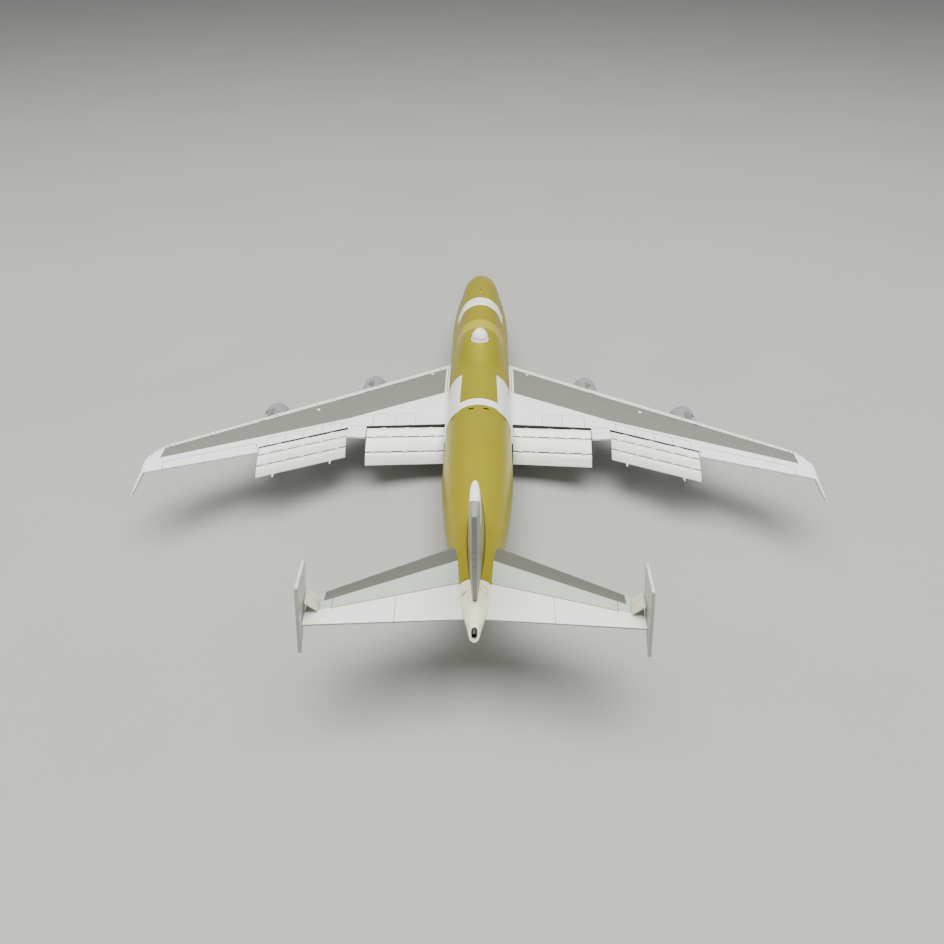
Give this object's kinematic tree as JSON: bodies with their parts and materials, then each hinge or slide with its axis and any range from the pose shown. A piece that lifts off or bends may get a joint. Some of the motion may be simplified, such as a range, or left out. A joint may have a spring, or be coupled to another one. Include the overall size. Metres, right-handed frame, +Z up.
{
  "type": "desktop airliner model",
  "caption": "Die-cast desktop model of a wide-body airliner with a raised upper deck, swept wings with lowered flaps, wing engines with turning fans, and rolling landing gear.",
  "frame": {"origin": "on the ground under the middle of the model's bounding box, where the tyres stand", "axes": "+Y towards the nose, +X towards the right wing, +Z up"},
  "size_m": [0.3038, 0.3461, 0.0965],
  "materials": {
    "gold_paint": "satin metallic primer",
    "white_paint": "semi-gloss paint",
    "cream_paint": "satin paint",
    "white_plastic": "semi-gloss",
    "cream_plastic": "semi-gloss",
    "grey_plastic": "semi-gloss",
    "dark_plastic": "dark metallic paint",
    "fan_silver": "silver paint",
    "gear_metal": "silver paint",
    "tyre_rubber": "matt black rubber",
    "screw_steel": "machined"
  },
  "bodies": {
    "airframe": {"fuselage_shell": "gold_paint", "belly_fairing": "gold_paint", "tail_cone": "cream_paint", "apu_outlet": "dark_plastic", "fin": "gold_paint", "satcom_dome": "white_plastic", "body_screw_front": "screw_steel", "body_screw_rear": "screw_steel", "wing_left": "white_paint", "winglet_left": "white_plastic", "flap_inboard_left": "white_plastic", "flap_outboard_left": "white_plastic", "tailplane_left": "white_paint", "endplate_left": "white_plastic", "endplate_brace_left": "cream_plastic", "wing_gear_leg_left": "gear_metal", "body_gear_leg_left": "gear_metal", "wing_right": "white_paint", "winglet_right": "white_plastic", "flap_inboard_right": "white_plastic", "flap_outboard_right": "white_plastic", "tailplane_right": "white_paint", "endplate_right": "white_plastic", "endplate_brace_right": "cream_plastic", "wing_gear_leg_right": "gear_metal", "body_gear_leg_right": "gear_metal", "nacelle_1": "grey_plastic", "exhaust_1": "dark_plastic", "pylon_1": "grey_plastic", "nacelle_2": "grey_plastic", "exhaust_2": "dark_plastic", "pylon_2": "grey_plastic", "nacelle_3": "grey_plastic", "exhaust_3": "dark_plastic", "pylon_3": "grey_plastic", "nacelle_4": "grey_plastic", "exhaust_4": "dark_plastic", "pylon_4": "grey_plastic"},
    "engine_fan_1": {"fan_1": "fan_silver"},
    "engine_fan_2": {"fan_2": "fan_silver"},
    "engine_fan_3": {"fan_3": "fan_silver"},
    "engine_fan_4": {"fan_4": "fan_silver"},
    "nose_steering": {"nose_gear_leg": "gear_metal"},
    "nose_axle": {"nose_gear_wheels": "tyre_rubber"},
    "wing_bogie_left": {"wing_gear_bogie_left": "gear_metal"},
    "wing_axle_left_front": {"wing_gear_wheels_left_front": "tyre_rubber"},
    "wing_axle_left_rear": {"wing_gear_wheels_left_rear": "tyre_rubber"},
    "wing_bogie_right": {"wing_gear_bogie_right": "gear_metal"},
    "wing_axle_right_front": {"wing_gear_wheels_right_front": "tyre_rubber"},
    "wing_axle_right_rear": {"wing_gear_wheels_right_rear": "tyre_rubber"},
    "body_bogie_left": {"body_gear_bogie_left": "gear_metal"},
    "body_axle_left_front": {"body_gear_wheels_left_front": "tyre_rubber"},
    "body_axle_left_rear": {"body_gear_wheels_left_rear": "tyre_rubber"},
    "body_bogie_right": {"body_gear_bogie_right": "gear_metal"},
    "body_axle_right_front": {"body_gear_wheels_right_front": "tyre_rubber"},
    "body_axle_right_rear": {"body_gear_wheels_right_rear": "tyre_rubber"}
  },
  "joints": [
    {"name": "fan_1_spin", "type": "hinge", "parent": "airframe", "child": "engine_fan_1", "pos_m": [-0.1056, 0.00931, 0.01868], "axis": [0, 1, 0], "continuous": true},
    {"name": "fan_2_spin", "type": "hinge", "parent": "airframe", "child": "engine_fan_2", "pos_m": [-0.059, 0.04962, 0.01296], "axis": [0, 1, 0], "continuous": true},
    {"name": "fan_3_spin", "type": "hinge", "parent": "airframe", "child": "engine_fan_3", "pos_m": [0.059, 0.04962, 0.01296], "axis": [0, 1, 0], "continuous": true},
    {"name": "fan_4_spin", "type": "hinge", "parent": "airframe", "child": "engine_fan_4", "pos_m": [0.1056, 0.00931, 0.01868], "axis": [0, 1, 0], "continuous": true},
    {"name": "nose_gear_steer", "type": "hinge", "parent": "airframe", "child": "nose_steering", "pos_m": [0, 0.13475, 0.0031], "axis": [0, 0, 1], "range_deg": [-30, 30]},
    {"name": "nose_wheels_roll", "type": "hinge", "parent": "nose_steering", "child": "nose_axle", "pos_m": [0, 0.13475, 0.0031], "axis": [1, 0, 0], "continuous": true},
    {"name": "wing_bogie_left_tilt", "type": "hinge", "parent": "airframe", "child": "wing_bogie_left", "pos_m": [-0.0275, 0.01425, 0.0031], "axis": [1, 0, 0], "range_deg": [-8, 8]},
    {"name": "wing_wheels_left_front_roll", "type": "hinge", "parent": "wing_bogie_left", "child": "wing_axle_left_front", "pos_m": [-0.0275, 0.01795, 0.0031], "axis": [1, 0, 0], "continuous": true},
    {"name": "wing_wheels_left_rear_roll", "type": "hinge", "parent": "wing_bogie_left", "child": "wing_axle_left_rear", "pos_m": [-0.0275, 0.01055, 0.0031], "axis": [1, 0, 0], "continuous": true},
    {"name": "wing_bogie_right_tilt", "type": "hinge", "parent": "airframe", "child": "wing_bogie_right", "pos_m": [0.0275, 0.01425, 0.0031], "axis": [1, 0, 0], "range_deg": [-8, 8]},
    {"name": "wing_wheels_right_front_roll", "type": "hinge", "parent": "wing_bogie_right", "child": "wing_axle_right_front", "pos_m": [0.0275, 0.01795, 0.0031], "axis": [1, 0, 0], "continuous": true},
    {"name": "wing_wheels_right_rear_roll", "type": "hinge", "parent": "wing_bogie_right", "child": "wing_axle_right_rear", "pos_m": [0.0275, 0.01055, 0.0031], "axis": [1, 0, 0], "continuous": true},
    {"name": "body_bogie_left_tilt", "type": "hinge", "parent": "airframe", "child": "body_bogie_left", "pos_m": [-0.0095, -0.00125, 0.0031], "axis": [1, 0, 0], "range_deg": [-8, 8]},
    {"name": "body_wheels_left_front_roll", "type": "hinge", "parent": "body_bogie_left", "child": "body_axle_left_front", "pos_m": [-0.0095, 0.00245, 0.0031], "axis": [1, 0, 0], "continuous": true},
    {"name": "body_wheels_left_rear_roll", "type": "hinge", "parent": "body_bogie_left", "child": "body_axle_left_rear", "pos_m": [-0.0095, -0.00495, 0.0031], "axis": [1, 0, 0], "continuous": true},
    {"name": "body_bogie_right_tilt", "type": "hinge", "parent": "airframe", "child": "body_bogie_right", "pos_m": [0.0095, -0.00125, 0.0031], "axis": [1, 0, 0], "range_deg": [-8, 8]},
    {"name": "body_wheels_right_front_roll", "type": "hinge", "parent": "body_bogie_right", "child": "body_axle_right_front", "pos_m": [0.0095, 0.00245, 0.0031], "axis": [1, 0, 0], "continuous": true},
    {"name": "body_wheels_right_rear_roll", "type": "hinge", "parent": "body_bogie_right", "child": "body_axle_right_rear", "pos_m": [0.0095, -0.00495, 0.0031], "axis": [1, 0, 0], "continuous": true}
  ]
}
